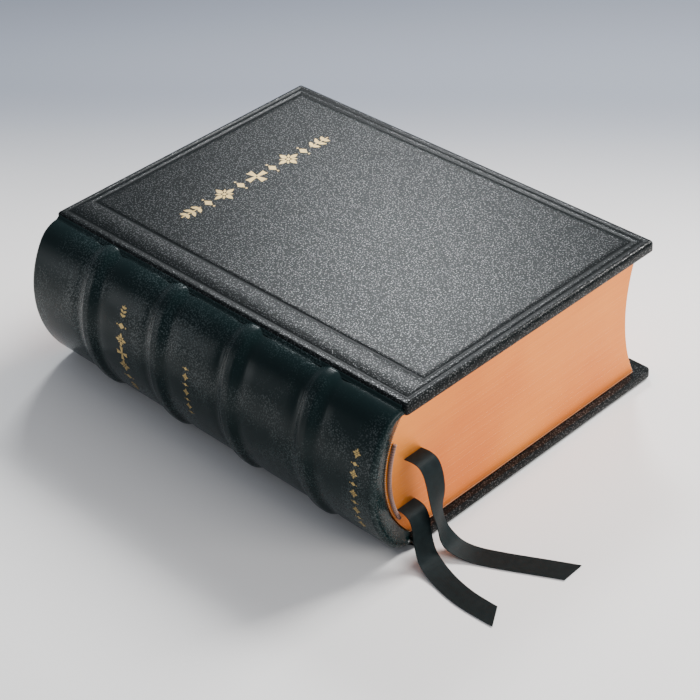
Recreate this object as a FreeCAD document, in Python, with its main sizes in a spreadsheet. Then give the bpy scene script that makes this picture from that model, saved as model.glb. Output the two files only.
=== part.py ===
import FreeCAD, Part
import math
import os

# A leather-bound book with thick board covers, a rounded hollow-back spine with
# raised bands, gilt leaf edges and two ribbon markers.  It lies on its back cover.
#
# Frame: +X from the spine to the fore-edge, +Y from the tail of the page to its
# head, +Z up from the back cover.  The origin is the middle of the footprint of
# the closed book, without the ribbons, on the face that it rests on.

V = FreeCAD.Vector

# Driving dimensions in millimetres.
DIMENSIONS = [
    ("board_long", 210.0, "cover, tail to head"),
    ("board_wide", 146.0, "cover, spine edge to fore-edge"),
    ("book_thick", 70.0, "over both covers"),
    ("board_thick", 3.3, "millboard inside a cover"),
    ("leather_thick", 1.1, "leather over the outside of a board and the spine"),
    ("edge_leather", 0.9, "leather round the edges of a board"),
    ("turn_in_thick", 0.7, "leather turned in over a board's inner face"),
    ("turn_in_wide", 16.0, "how far the leather is turned in"),
    ("pastedown_thick", 0.3, "endpaper pasted inside a cover"),
    ("pastedown_inset", 9.0, "from the cover's edges to the pastedown"),
    ("corner_radius", 2.5, "a cover's corners at the fore-edge"),
    ("flyleaf_thick", 0.25, "free endpaper"),
    ("leaf_gap", 0.2, "air on each side of a flyleaf"),
    ("square_ends", 3.5, "cover beyond the leaves at head and tail"),
    ("square_fore", 8.0, "cover beyond the leaves at the fore-edge"),
    ("leaf_shoulder", 1.5, "spine folds of the outer leaves, inside the boards' spine edge"),
    ("leaf_round", 11.5, "rounding of the leaves at the spine"),
    ("fore_hollow", 5.6, "hollow of the leaves at the fore-edge"),
    ("tape_thick", 0.5, "sewing tapes"),
    ("tape_wide", 13.0, "sewing tapes"),
    ("mull_thick", 0.4, "open cloth glued over the sewn folds"),
    ("mull_short", 12.0, "from the ends of the leaves to the mull"),
    ("tube_wall", 0.4, "paper walls of the hollow tube"),
    ("inlay_thick", 1.3, "card that stiffens the spine"),
    ("inlay_short", 3.5, "from the ends of the spine leather to the card and the tube"),
    ("spine_proud", 20.0, "spine leather beyond the boards' spine edge, between bands"),
    ("spine_drop", 1.8, "spine leather below the covers' outer faces at the joints"),
    ("shoulder_radius", 14.0, "spine leather where it turns to the joints"),
    ("band_proud", 1.6, "raised bands above the spine leather"),
    ("band_wide", 4.6, "strip under a raised band"),
    ("band_first", 38.0, "tail of the cover to the first band"),
    ("band_pitch", 44.0, "band to band"),
    ("cap_thick", 1.8, "leather cap at the head or the tail of the spine"),
    ("cap_set_in", 0.8, "from the ends of the covers to a cap"),
    ("endband_radius", 0.8, "silk endband"),
    ("joint_gap", 0.4, "between the spine leather and the covers"),
    ("ribbon_wide", 9.5, "ribbon markers"),
    ("ribbon_thick", 0.35, "ribbon markers"),
    ("ribbon_room", 0.2, "round a ribbon between the leaves"),
]
GATHERINGS = 8
BANDS = 4

# The spine edge of the boards is x = 0 and the tail edge of the covers is y = 0
# in these routes, as someone would measure them on the book.
RIBBON_ROUTES = {
    "ribbon_1": [
        (5.4, 3.5, 42.41),
        (5.6, -1.5, 43.4),
        (6.0, -6.0, 40.5),
        (6.6, -7.5, 29.0),
        (7.2, -7.0, 16.0),
        (8.2, -9.5, 5.0),
        (11.0, -18.0, 0.6),
        (17.0, -31.0, 0.45),
        (24.0, -44.0, 0.45),
        (29.8, -55.3, 0.45),
    ],
    "ribbon_2": [
        (0.2, 3.5, 20.7),
        (0.0, -1.5, 21.2),
        (-0.5, -5.0, 17.5),
        (-1.6, -6.5, 9.5),
        (-3.2, -10.5, 2.6),
        (-5.5, -19.5, 0.5),
        (-7.6, -29.5, 0.45),
        (-8.3, -39.5, 0.45),
        (-7.7, -49.1, 0.45),
    ],
}
# The gathering whose top each ribbon lies on, counted from the back cover.
RIBBON_PLACES = {"ribbon_1": 5, "ribbon_2": 2}

doc = FreeCAD.newDocument("leather_book")
sheet = doc.addObject("Spreadsheet::Sheet", "Sheet")
sheet.Label = "dimensions"
for row, (alias, value, meaning) in enumerate(DIMENSIONS, start=1):
    sheet.set("A%d" % row, alias)
    sheet.set("B%d" % row, str(value))
    sheet.setAlias("B%d" % row, alias)
    sheet.set("C%d" % row, meaning)
doc.recompute()

# Lengths that several pieces share, written as expressions on the sheet.
SPINE_X = "(Sheet.spine_proud + Sheet.band_proud - Sheet.board_wide) / 2"
TAIL_Y = "(-Sheet.board_long / 2)"
COVER = "(Sheet.leather_thick + Sheet.board_thick + Sheet.turn_in_thick + Sheet.pastedown_thick)"
LEAVES_LOW = "(%s + 2 * Sheet.leaf_gap + Sheet.flyleaf_thick)" % COVER
LEAVES_THICK = "(Sheet.book_thick - 2 * %s)" % LEAVES_LOW
LEAVES_LONG = "(Sheet.board_long - 2 * Sheet.square_ends)"
FORE_X = "(%s + Sheet.board_wide - Sheet.square_fore)" % SPINE_X
SHOULDER_X = "(%s + Sheet.leaf_shoulder)" % SPINE_X
ROUND_RADIUS = "((%s / 2) ^ 2 + Sheet.leaf_round ^ 2) / (2 * Sheet.leaf_round)" % LEAVES_THICK
HOLLOW_RADIUS = "((%s / 2) ^ 2 + Sheet.fore_hollow ^ 2) / (2 * Sheet.fore_hollow)" % LEAVES_THICK
ALONG_Y = FreeCAD.Rotation(V(1, 0, 0), -90)


def size(alias):
    """A driving dimension, read back from the sheet."""
    return float(sheet.get(alias))


def place(piece, x, y, z):
    """Tie a piece's place to the sheet."""
    for axis, text in zip("xyz", (x, y, z)):
        piece.setExpression(".Placement.Base.%s" % axis, text)
    return piece


def add_box(name, length, width, height, x, y, z):
    box = doc.addObject("Part::Box", name)
    box.setExpression("Length", length)
    box.setExpression("Width", width)
    box.setExpression("Height", height)
    return place(box, x, y, z)


def add_cylinder(name, radius, length, x, y, z):
    """A cylinder that runs along +Y from y."""
    cylinder = doc.addObject("Part::Cylinder", name)
    cylinder.Placement = FreeCAD.Placement(V(0, 0, 0), ALONG_Y)
    cylinder.setExpression("Radius", radius)
    cylinder.setExpression("Height", length)
    return place(cylinder, x, y, z)


def combine(kind, name, base, tool):
    both = doc.addObject("Part::" + kind, name)
    both.Base = base
    both.Tool = tool
    return both


def label(piece, node):
    piece.Label = node
    nodes.append(piece)
    return piece


def add_shape(node, shape):
    """A sub-part whose shape is computed from the sheet's values."""
    piece = doc.addObject("Part::Feature", "Shape_" + node)
    piece.Shape = shape
    piece.Placement = FreeCAD.Placement(V(0, 0, 0), FreeCAD.Rotation())
    return label(piece, node)


nodes = []


# ---- covers -----------------------------------------------------------------

def cover_level(side, depth, thick):
    """The z of a layer that starts depth inside a cover's outer face."""
    if side == "back":
        return depth
    return "Sheet.book_thick - (%s) - (%s)" % (depth, thick)


def add_layer(name, side, inset_spine, inset, thick, depth):
    """A flat rectangle of a cover, with its corners rounded at the fore-edge."""
    layer = add_box(
        name,
        "Sheet.board_wide - (%s) - (%s)" % (inset_spine, inset),
        "Sheet.board_long - 2 * (%s)" % inset,
        thick,
        "%s + (%s)" % (SPINE_X, inset_spine),
        "%s + (%s)" % (TAIL_Y, inset),
        cover_level(side, depth, thick),
    )
    return layer


def round_fore_corners(name, base, radius):
    """Fillet the two upright edges at the fore-edge of a flat piece."""
    doc.recompute()
    fillet = doc.addObject("Part::Fillet", name)
    fillet.Base = base
    fore = base.Shape.BoundBox.XMax
    chosen = []
    for number, edge in enumerate(base.Shape.Edges, start=1):
        ends = [vertex.Point for vertex in edge.Vertexes]
        upright = abs(ends[0].z - ends[1].z) > 1e-6
        if upright and all(abs(point.x - fore) < 1e-6 for point in ends):
            chosen.append((number, radius, radius))
    fillet.Edges = chosen
    return fillet


def add_cover(side):
    leather_inner = "Sheet.leather_thick"
    turn_in_depth = "(Sheet.leather_thick + Sheet.board_thick)"
    paste_depth = "(%s + Sheet.turn_in_thick)" % turn_in_depth

    shell = add_layer(side + "_shell_stock", side, "0", "0", turn_in_depth, "0")
    shell = round_fore_corners(side + "_shell_round", shell, size("corner_radius"))
    room = add_layer(
        side + "_board_room", side, "Sheet.edge_leather", "Sheet.edge_leather",
        "Sheet.board_thick", leather_inner,
    )
    label(combine("Cut", side + "_leather_cut", shell, room), side + "_leather")

    board = add_layer(
        side + "_board_stock", side, "Sheet.edge_leather", "Sheet.edge_leather",
        "Sheet.board_thick", leather_inner,
    )
    label(board, side + "_board")

    ring = add_layer(
        side + "_turn_in_stock", side, "0", "0", "Sheet.turn_in_thick", turn_in_depth
    )
    ring = round_fore_corners(side + "_turn_in_round", ring, size("corner_radius"))
    window = add_layer(
        side + "_turn_in_window", side, "Sheet.turn_in_wide", "Sheet.turn_in_wide",
        "Sheet.turn_in_thick", turn_in_depth,
    )
    label(combine("Cut", side + "_turn_in_cut", ring, window), side + "_turn_in")

    label(add_layer(
        side + "_lining_sheet", side, "Sheet.turn_in_wide", "Sheet.turn_in_wide",
        "Sheet.turn_in_thick", turn_in_depth,
    ), side + "_board_lining")
    label(add_layer(
        side + "_paste_sheet", side, "Sheet.leaf_shoulder", "Sheet.pastedown_inset",
        "Sheet.pastedown_thick", paste_depth,
    ), side + "_pastedown")

    fly_z = "%s + Sheet.leaf_gap" % COVER
    if side == "front":
        fly_z = "Sheet.book_thick - %s - Sheet.leaf_gap - Sheet.flyleaf_thick" % COVER
    label(add_box(
        side + "_fly_sheet",
        "%s - %s" % (FORE_X, SHOULDER_X), LEAVES_LONG, "Sheet.flyleaf_thick",
        SHOULDER_X, "%s + Sheet.square_ends" % TAIL_Y, fly_z,
    ), side + "_flyleaf")


for side in ("front", "back"):
    add_cover(side)


# ---- leaves -----------------------------------------------------------------

# The block of leaves is a slab, rounded at the spine by one cylinder and
# hollowed at the fore-edge by another.  Each gathering is a slice of it.
leaves_y = "%s + Sheet.square_ends" % TAIL_Y
round_x = "%s - Sheet.leaf_round + %s" % (SHOULDER_X, ROUND_RADIUS)
slab = add_box(
    "leaf_slab",
    "%s - %s + Sheet.leaf_round" % (FORE_X, SHOULDER_X), LEAVES_LONG, LEAVES_THICK,
    "%s - Sheet.leaf_round" % SHOULDER_X, leaves_y, LEAVES_LOW,
)
rounding = add_cylinder(
    "leaf_rounding", ROUND_RADIUS, LEAVES_LONG, round_x, leaves_y, "Sheet.book_thick / 2"
)
beyond = add_box(
    "leaf_beyond_rounding",
    "%s - %s" % (FORE_X, SHOULDER_X), LEAVES_LONG, LEAVES_THICK,
    SHOULDER_X, leaves_y, LEAVES_LOW,
)
outline = combine("Fuse", "leaf_outline", rounding, beyond)
rounded = combine("Common", "leaf_rounded", slab, outline)
hollow = add_cylinder(
    "leaf_hollow", HOLLOW_RADIUS, LEAVES_LONG,
    "%s - Sheet.fore_hollow + %s" % (FORE_X, HOLLOW_RADIUS), leaves_y,
    "Sheet.book_thick / 2",
)
leaf_block = combine("Cut", "leaf_block", rounded, hollow)

slice_thick = "%s / %d" % (LEAVES_THICK, GATHERINGS)
for number in range(1, GATHERINGS + 1):
    layer = add_box(
        "gathering_slice_%d" % number,
        "Sheet.board_wide + Sheet.spine_proud", LEAVES_LONG, slice_thick,
        "%s - Sheet.spine_proud" % SPINE_X, leaves_y,
        "%s + %d * %s" % (LEAVES_LOW, number - 1, slice_thick),
    )
    piece = combine("Common", "gathering_solid_%d" % number, leaf_block, layer)
    for ribbon, below in RIBBON_PLACES.items():
        if below != number - 1:
            continue
        # the ribbon lies in a shallow bed in the gathering above it
        bed_x = "%s + %s" % (SPINE_X, RIBBON_ROUTES[ribbon][0][0])
        bed_z = "%s + %d * %s" % (LEAVES_LOW, below, slice_thick)
        bed = add_box(
            ribbon + "_bed",
            "Sheet.ribbon_wide + Sheet.ribbon_room", LEAVES_LONG,
            "Sheet.ribbon_thick + Sheet.ribbon_room",
            "%s - (Sheet.ribbon_wide + Sheet.ribbon_room) / 2" % bed_x, leaves_y, bed_z,
        )
        piece = combine("Cut", "gathering_bedded_%d" % number, piece, bed)
        label(add_box(
            ribbon + "_strip",
            "Sheet.ribbon_wide", LEAVES_LONG, "Sheet.ribbon_thick",
            "%s - Sheet.ribbon_wide / 2" % bed_x, leaves_y, bed_z,
        ), ribbon + "_between_leaves")
    label(piece, "gathering_%d" % number)


# ---- spine linings that follow the leaves' rounding ---------------------------

def add_leaf_ring(node, inner, outer, y, length):
    """A strip bent round the back of the leaves, from inner to outer above them."""
    centre = (round_x, y, "Sheet.book_thick / 2")
    big = add_cylinder(node + "_outside", "%s + %s" % (ROUND_RADIUS, outer), length, *centre)
    small = add_cylinder(node + "_inside", "%s + %s" % (ROUND_RADIUS, inner), length, *centre)
    ring = combine("Cut", node + "_ring", big, small)
    back = add_box(
        node + "_back",
        "2 * Sheet.leaf_round", length, LEAVES_THICK,
        "%s - 2 * Sheet.leaf_round" % SHOULDER_X, y, LEAVES_LOW,
    )
    return label(combine("Common", node + "_strip", ring, back), node)


for number in range(1, BANDS + 1):
    add_leaf_ring(
        "sewing_tape_%d" % number, "0", "Sheet.tape_thick",
        "%s + Sheet.band_first + %d * Sheet.band_pitch - Sheet.tape_wide / 2"
        % (TAIL_Y, number - 1),
        "Sheet.tape_wide",
    )
add_leaf_ring(
    "mull", "Sheet.tape_thick", "(Sheet.tape_thick + Sheet.mull_thick)",
    "%s + Sheet.mull_short" % leaves_y,
    "%s - 2 * Sheet.mull_short" % LEAVES_LONG,
)


# ---- spine: card, bands, leather and caps -------------------------------------

spine_x = (size("spine_proud") + size("band_proud") - size("board_wide")) / 2
tail_y = -size("board_long") / 2
head_y = -tail_y
middle_z = size("book_thick") / 2
cover = sum(size(a) for a in ("leather_thick", "board_thick", "turn_in_thick", "pastedown_thick"))
leaves_low = cover + 2 * size("leaf_gap") + size("flyleaf_thick")
leaves_half = middle_z - leaves_low
leaf_radius = (leaves_half ** 2 + size("leaf_round") ** 2) / (2 * size("leaf_round"))
leaf_centre_x = spine_x + size("leaf_shoulder") - size("leaf_round") + leaf_radius


def arch_face(offset):
    """The spine's outline, offset outwards, as a face in the XZ plane.

    It has three tangent arcs: a flat one over the middle of the spine and a
    tight one at each shoulder, which ends square to the boards' spine edge."""
    rise = size("spine_proud")
    half = middle_z - size("spine_drop")
    small = size("shoulder_radius")
    big = (half ** 2 + rise ** 2 - 2 * half * small) / (2 * (rise - small))
    big_centre = V(spine_x - rise + big, 0, middle_z)
    gap = size("joint_gap")
    points = {}
    for sign in (1, -1):
        small_centre = V(spine_x, 0, middle_z + sign * (half - small))
        away = (small_centre - big_centre).normalize()
        turn = 0.5 * math.atan2(abs(away.z), -away.x) + math.pi / 4
        rise_at_gap = math.sqrt((small + offset) ** 2 - gap ** 2)
        points[sign] = (
            V(spine_x - gap, 0, small_centre.z + sign * rise_at_gap),
            small_centre + V(-math.cos(turn), 0, sign * math.sin(turn)) * (small + offset),
            big_centre + away * (big + offset),
        )
    crown = V(spine_x - rise - offset, 0, middle_z)
    # the shoulder arcs end a joint's gap outside the boards' spine edge
    edges = [
        Part.Arc(*points[1]).toShape(),
        Part.Arc(points[1][2], crown, points[-1][2]).toShape(),
        Part.Arc(points[-1][2], points[-1][1], points[-1][0]).toShape(),
        Part.LineSegment(points[-1][0], points[1][0]).toShape(),
    ]
    return Part.Face(Part.Wire(edges))


def arch(offset, low, high):
    """The spine's solid outline from y = low to y = high."""
    solid = arch_face(offset).extrude(V(0, high - low, 0))
    solid.translate(V(0, low, 0))
    return solid


def leaf_cylinder(clear, low, high):
    """Everything within the leaves' rounding, grown by clear."""
    centre = V(leaf_centre_x, low, middle_z)
    return Part.makeCylinder(leaf_radius + clear, high - low, centre, V(0, 1, 0))


band_spots = [tail_y + size("band_first") + i * size("band_pitch") for i in range(BANDS)]
skin = size("leather_thick")
band_half = size("band_wide") / 2
inlay_low = tail_y + size("inlay_short")
inlay_high = head_y - size("inlay_short")
lining = size("tape_thick") + size("mull_thick")

# Raised bands: strips on the card, under the leather.
for number, spot in enumerate(band_spots, start=1):
    low, high = spot - band_half, spot + band_half
    strip = arch(size("band_proud") - skin, low, high).cut(arch(-skin, low, high))
    add_shape("raised_band_%d" % number, strip)

# Leather: one skin that steps up over each band.
leather_low = tail_y + size("cap_set_in")
leather_high = head_y - size("cap_set_in")
leather = arch(0, leather_low, leather_high)
for spot in band_spots:
    half = band_half + skin
    leather = leather.fuse(arch(size("band_proud"), spot - half, spot + half))
leather = leather.cut(arch(-skin, leather_low, leather_high))
for spot in band_spots:
    leather = leather.cut(arch(size("band_proud") - skin, spot - band_half, spot + band_half))
add_shape("spine_leather", leather.removeSplitter())

# Card that keeps the spine's shape.
inlay = arch(-skin, inlay_low, inlay_high)
inlay = inlay.cut(arch(-skin - size("inlay_thick"), inlay_low, inlay_high))
add_shape("spine_inlay", inlay)

# Hollow tube: paper against the mull on one side and the card on the other.
wall = size("tube_wall")
outside = arch(-skin - size("inlay_thick"), inlay_low, inlay_high)
outside = outside.cut(leaf_cylinder(lining, inlay_low, inlay_high))
inside = arch(-skin - size("inlay_thick") - wall, inlay_low, inlay_high)
inside = inside.cut(leaf_cylinder(lining + wall, inlay_low, inlay_high))
# the two walls are folded into each other at the joints
reach = size("spine_proud")
folds = Part.makeBox(
    reach, inlay_high - inlay_low, size("book_thick"),
    V(spine_x - size("joint_gap") - wall, inlay_low, 0),
)
add_shape("hollow_tube", outside.cut(inside.cut(folds)))

# Caps: leather rolled over each end of the hollow.
cap = size("cap_thick")
for node, low in (("tail_cap", leather_low), ("head_cap", leather_high - cap)):
    shape = arch(-skin, low, low + cap).cut(leaf_cylinder(lining, low, low + cap))
    add_shape(node, shape)

# Endbands: thin silk rolls on the ends of the leaves, just inside their backs.
roll = size("endband_radius")
turn = 0.62 * math.asin(leaves_half / leaf_radius)
for node, y in (
    ("tail_band", tail_y + size("square_ends") - roll),
    ("head_band", head_y - size("square_ends") + roll),
):
    reach = leaf_radius - 2 * roll
    spots = []
    for angle in (-turn, 0, turn):
        spots.append(V(leaf_centre_x - reach * math.cos(angle), y, middle_z + reach * math.sin(angle)))
    path = Part.Wire([Part.Arc(*spots).toShape()])
    tangent = V(math.sin(-turn), 0, math.cos(-turn))
    ring = Part.Wire([Part.makeCircle(roll, spots[0], tangent)])
    add_shape(node, path.makePipeShell([ring], True, True))


# ---- ribbons outside the leaves ------------------------------------------------

ARC_SHARE = 0.45
ARC_STEPS = 5


def rounded_route(points):
    """Straight runs joined by tangent arcs, as points and headings in order."""
    # the ribbon leaves square to the tail edge of the leaves
    stations = [(points[0], V(0, -1, 0))]
    radii = []
    for before, corner, after in zip(points, points[1:], points[2:]):
        into = (corner - before).normalize()
        out = (after - corner).normalize()
        reach = ARC_SHARE * min((corner - before).Length, (after - corner).Length)
        turn = into.getAngle(out)
        radius = reach / math.tan(turn / 2)
        radii.append(round(radius, 1))
        start = corner - into * reach
        side = (out - into * into.dot(out)).normalize()
        for step in range(ARC_STEPS + 1):
            angle = turn * step / ARC_STEPS
            spot = start + into * (radius * math.sin(angle)) + side * (radius * (1 - math.cos(angle)))
            stations.append((spot, into * math.cos(angle) + side * math.sin(angle)))
    stations.append((points[-1], (points[-1] - points[-2]).normalize()))
    return stations, radii


def ribbon_section(spot, heading, wide, thick):
    """The ribbon's rectangular section, level across its width where it lies flat."""
    steep = abs(heading.z) > 0.5
    # on its way down the ribbon keeps its width along the leaves' tail edge
    across = V(1, 0, 0) - heading * heading.x if steep else V(-heading.y, heading.x, 0)
    across = across.normalize()
    up = across.cross(heading).normalize()
    half, rise = across * (wide / 2), up * (thick / 2)
    corners = [spot + half + rise, spot - half + rise, spot - half - rise, spot + half - rise]
    return Part.makePolygon(corners + [corners[0]])


doc.recompute()
for node, route in RIBBON_ROUTES.items():
    points = [V(spine_x + x, tail_y + y, z) for x, y, z in route]
    # each ribbon starts on the middle of its strip between the leaves
    strip = doc.getObjectsByLabel(node + "_between_leaves")[0].Shape.BoundBox
    points[0] = V(strip.Center.x, points[0].y, strip.Center.z)
    stations, radii = rounded_route(points)
    print(node, "arc radii", radii)
    sections = [
        ribbon_section(spot, heading, size("ribbon_wide"), size("ribbon_thick"))
        for spot, heading in stations
    ]
    solid = Part.makeLoft(sections, True, True)
    length = sum((b[0] - a[0]).Length for a, b in zip(stations, stations[1:]))
    expected = length * size("ribbon_wide") * size("ribbon_thick")
    print(node, "length %.1f, volume %.1f against %.1f" % (length, solid.Volume, expected))
    add_shape(node, solid)


# ---- check and write ------------------------------------------------------------

doc.recompute()
for thing in doc.Objects:
    if "Invalid" in thing.State or "Error" in thing.State:
        raise RuntimeError("%s did not compute: %s" % (thing.Label, thing.State))
for piece in nodes:
    shape = piece.Shape
    if shape.isNull() or not shape.isValid() or not shape.Solids:
        raise RuntimeError("%s has no valid solid" % piece.Label)

os.makedirs("parts", exist_ok=True)
for piece in nodes:
    piece.Shape.exportStep("parts/%s.step" % piece.Label)
whole = FreeCAD.BoundBox()
for piece in nodes:
    if piece.Label not in RIBBON_ROUTES:
        whole.add(piece.Shape.BoundBox)
print(len(nodes), "nodes, without ribbons", whole)
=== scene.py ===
"""A leather-bound book with raised bands, gilt leaves and two ribbon markers."""

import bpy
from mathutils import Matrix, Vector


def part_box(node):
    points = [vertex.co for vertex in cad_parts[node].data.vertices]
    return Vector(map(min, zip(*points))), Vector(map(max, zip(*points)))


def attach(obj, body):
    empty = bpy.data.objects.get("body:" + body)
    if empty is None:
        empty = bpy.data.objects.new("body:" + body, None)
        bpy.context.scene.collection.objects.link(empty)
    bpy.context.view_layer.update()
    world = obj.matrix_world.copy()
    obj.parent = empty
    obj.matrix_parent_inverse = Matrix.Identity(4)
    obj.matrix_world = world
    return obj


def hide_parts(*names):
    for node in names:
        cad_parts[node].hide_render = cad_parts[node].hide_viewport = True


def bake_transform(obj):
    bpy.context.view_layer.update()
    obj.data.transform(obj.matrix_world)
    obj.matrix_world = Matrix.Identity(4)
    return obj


bl_info = {
    "name": "Leather-Bound Book",
    "version": (1, 0, 0),
    "blender": (4, 5, 0),
    "location": "View3D > Sidebar > Book",
    "description": "Dresses the packed book in leather, gilt, paper and ribbon",
    "category": "Object",
}

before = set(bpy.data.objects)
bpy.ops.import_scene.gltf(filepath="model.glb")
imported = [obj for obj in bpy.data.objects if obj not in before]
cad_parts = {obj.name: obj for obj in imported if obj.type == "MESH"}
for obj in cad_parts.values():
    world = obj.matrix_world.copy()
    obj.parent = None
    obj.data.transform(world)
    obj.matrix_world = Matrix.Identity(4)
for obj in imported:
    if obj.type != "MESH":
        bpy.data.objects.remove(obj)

import math
from functools import partial

import bmesh
import bpy
from bpy.props import FloatProperty, FloatVectorProperty, IntProperty, PointerProperty
from mathutils import Euler, Matrix, Vector

MM = 0.001


# ---- places taken from the frame ----

def corner(node, end, axis):
    """One coordinate of a CAD node's box: end 0 is the lowest corner, 1 the highest."""
    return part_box(node)[end]["xyz".index(axis)]


SPINE_X = corner("front_leather", 0, "x")
FORE_X = corner("front_leather", 1, "x")
TAIL_Y = corner("front_leather", 0, "y")
HEAD_Y = corner("front_leather", 1, "y")
TOP_Z = corner("front_leather", 1, "z")
MID_Z = TOP_Z / 2
TURN_IN_Z = corner("front_turn_in", 0, "z")
PASTE_Z = corner("front_pastedown", 0, "z")
SHOULDER_X = corner("front_flyleaf", 0, "x")
LEAF_BACK_X = corner("gathering_4", 0, "x")
LEAVES_TOP = corner("gathering_8", 1, "z")
LEAVES_TAIL = corner("gathering_1", 0, "y")
LEAVES_HEAD = corner("gathering_1", 1, "y")
LEAVES_FORE = corner("gathering_8", 1, "x")
SKIN = 1.1 * MM  # the spine leather of the CAD model
CREST_X = corner("spine_leather", 0, "x")
CROWN_X = corner("spine_inlay", 0, "x") - SKIN
BAND_PROUD = CROWN_X - CREST_X
ARCH_HALF = corner("spine_inlay", 1, "z") + SKIN - MID_Z
BANDS = [sum(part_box("raised_band_%d" % n)[end][1] for end in (0, 1)) / 2 for n in (1, 2, 3, 4)]
SPINE_TAIL = corner("spine_leather", 0, "y")
SPINE_HEAD = corner("spine_leather", 1, "y")

# The ribbons' routes, measured from the boards' spine edge and the covers' tail
# edge, in millimetres, as the model has them.
ROUTES = {
    "ribbon_1": [
        (5.4, 3.5, 42.41), (5.6, -1.5, 43.4), (6.0, -6.0, 40.5), (6.6, -7.5, 29.0),
        (7.2, -7.0, 16.0), (8.2, -9.5, 5.0), (11.0, -18.0, 0.6), (17.0, -31.0, 0.45),
        (24.0, -44.0, 0.45), (29.8, -55.3, 0.45),
    ],
    "ribbon_2": [
        (0.2, 3.5, 20.7), (0.0, -1.5, 21.2), (-0.5, -5.0, 17.5), (-1.6, -6.5, 9.5),
        (-3.2, -10.5, 2.6), (-5.5, -19.5, 0.5), (-7.6, -29.5, 0.45),
        (-8.3, -39.5, 0.45), (-7.7, -49.1, 0.45),
    ],
}


# ---- what a user would change ----

def linear(code):
    """An sRGB hex colour as linear red, green and blue."""
    parts = [int(code[i:i + 2], 16) / 255 for i in (1, 3, 5)]
    return tuple(c / 12.92 if c <= 0.04045 else ((c + 0.055) / 1.055) ** 2.4 for c in parts)


def length(name, description, millimetres):
    return FloatProperty(
        name=name, description=description, default=millimetres * MM,
        min=0.0, unit="LENGTH", precision=5,
    )


def colour(name, description, code):
    return FloatVectorProperty(
        name=name, description=description, default=linear(code),
        size=3, min=0.0, max=1.0, subtype="COLOR",
    )


class BookSizes(bpy.types.PropertyGroup):
    edge_round: length("Edge rounding", "Rounding of a cover's edges", 1.6)
    corner_round: length("Corner rounding", "Rounding of a cover's corners", 1.7)
    line_wide: length("Tooled line", "Width of a blind-tooled line", 2.1)
    line_deep: length("Tooled depth", "Depth of a blind-tooled line", 0.2)
    outer_line: length("Outer line", "Edge of the cover to the outer line", 3.3)
    outer_line_spine: length("Outer line at spine", "The same at the spine", 4.2)
    inner_line: length("Inner line", "Edge of the cover to the inner line", 6.6)
    inner_line_spine: length("Inner line at spine", "The same at the spine", 16.4)
    grain: length("Grain", "Width of one pebble of the leather's grain", 0.75)
    band_soft: length("Band softness", "Run of the leather from a band to the spine", 4.6)
    shoulder: length("Shoulder", "Radius of the spine where it turns to the joints", 14.0)
    thread: length("Endband thread", "Width of one turn of an endband's silk", 0.62)
    title_long: length("Title row", "Length of the ornaments on the front cover", 86.0)
    title_high: length("Title height", "Height of the ornaments on the front cover", 10.4)
    ribbon_wide: length("Ribbon", "Width of a ribbon", 9.5)
    ribbon_thick: length("Ribbon thickness", "Thickness of a ribbon", 0.35)
    hollow: length("Fore-edge hollow", "Depth of the leaves' hollow fore-edge", 5.6)
    sections: IntProperty(
        name="Sections", description="Sewn sections in one gathering", default=8, min=1
    )


class BookColours(bpy.types.PropertyGroup):
    leather: colour("Leather", "Dyed leather in the hollows of its grain", "#0b0f10")
    # painted highlight: the grain's tops get this lighter colour as painted glint, where the lamps
    # would catch them
    leather_light: colour("Leather lights", "Polished tops of the grain", "#262b2e")
    spine: colour("Spine leather", "Leather rubbed smooth over the spine", "#0b1a1b")
    gilt_edge: colour("Gilt edges", "Leaf gold over red on the edges", "#ee9136")
    gilt_shade: colour("Red under gilt", "Red bole that shows through", "#d26c26")
    gold: colour("Gold tooling", "Gold leaf of the ornaments", "#b79d66")
    paper: colour("Paper", "Thin white paper", "#e9e2d0")
    endpaper: colour("Endpaper", "Paper of the pastedowns and flyleaves", "#ddd3bd")
    ribbon: colour("Ribbon", "Satin ribbon", "#071214")
    floor: colour("Floor", "Pale studio paper", "#efeeed")


def sizes():
    return bpy.context.scene.book_sizes


def colours():
    return bpy.context.scene.book_colours


# ---- meshes ----

def new_object(name, data, material=None):
    piece = bpy.data.objects.new(name, data)
    bpy.context.collection.objects.link(piece)
    if material:
        data.materials.append(material)
    return piece


def mesh_from(name, points, faces, smooth=True):
    mesh = bpy.data.meshes.new(name)
    mesh.from_pydata([tuple(p) for p in points], [], faces)
    mesh.validate()
    if smooth:
        mesh.shade_smooth()
    return mesh


def outward(mesh, merge=True):
    """Turn every face outwards, and merge doubled points first if asked."""
    work = bmesh.new()
    work.from_mesh(mesh)
    if merge:
        bmesh.ops.remove_doubles(work, verts=work.verts, dist=1e-7)
    bmesh.ops.recalc_face_normals(work, faces=work.faces)
    work.to_mesh(mesh)
    work.free()
    return mesh


def grid_faces(rows, columns, wrap=False):
    """Quads between the points of a grid that is stored row by row."""
    faces = []
    last = columns if wrap else columns - 1
    for row in range(rows - 1):
        low, high = row * columns, (row + 1) * columns
        for c in range(last):
            n = (c + 1) % columns
            faces.append((low + c, low + n, high + n, high + c))
    return faces


def flat_shade_sharp(mesh, degrees=35):
    """Keep creases sharper than this angle."""
    mesh.shade_smooth()
    mesh.set_sharp_from_angle(angle=math.radians(degrees))
    return mesh


def rounded_rectangle(low_x, high_x, low_y, high_y, radius, steps=6):
    """Points round a rectangle, with the same count whatever its radius."""
    centres = [
        (high_x - radius, high_y - radius, 0), (low_x + radius, high_y - radius, 90),
        (low_x + radius, low_y + radius, 180), (high_x - radius, low_y + radius, 270),
    ]
    loop = []
    for x, y, start in centres:
        for step in range(steps + 1):
            angle = math.radians(start + 90 * step / steps)
            loop.append((x + radius * math.cos(angle), y + radius * math.sin(angle)))
    return loop


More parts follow.
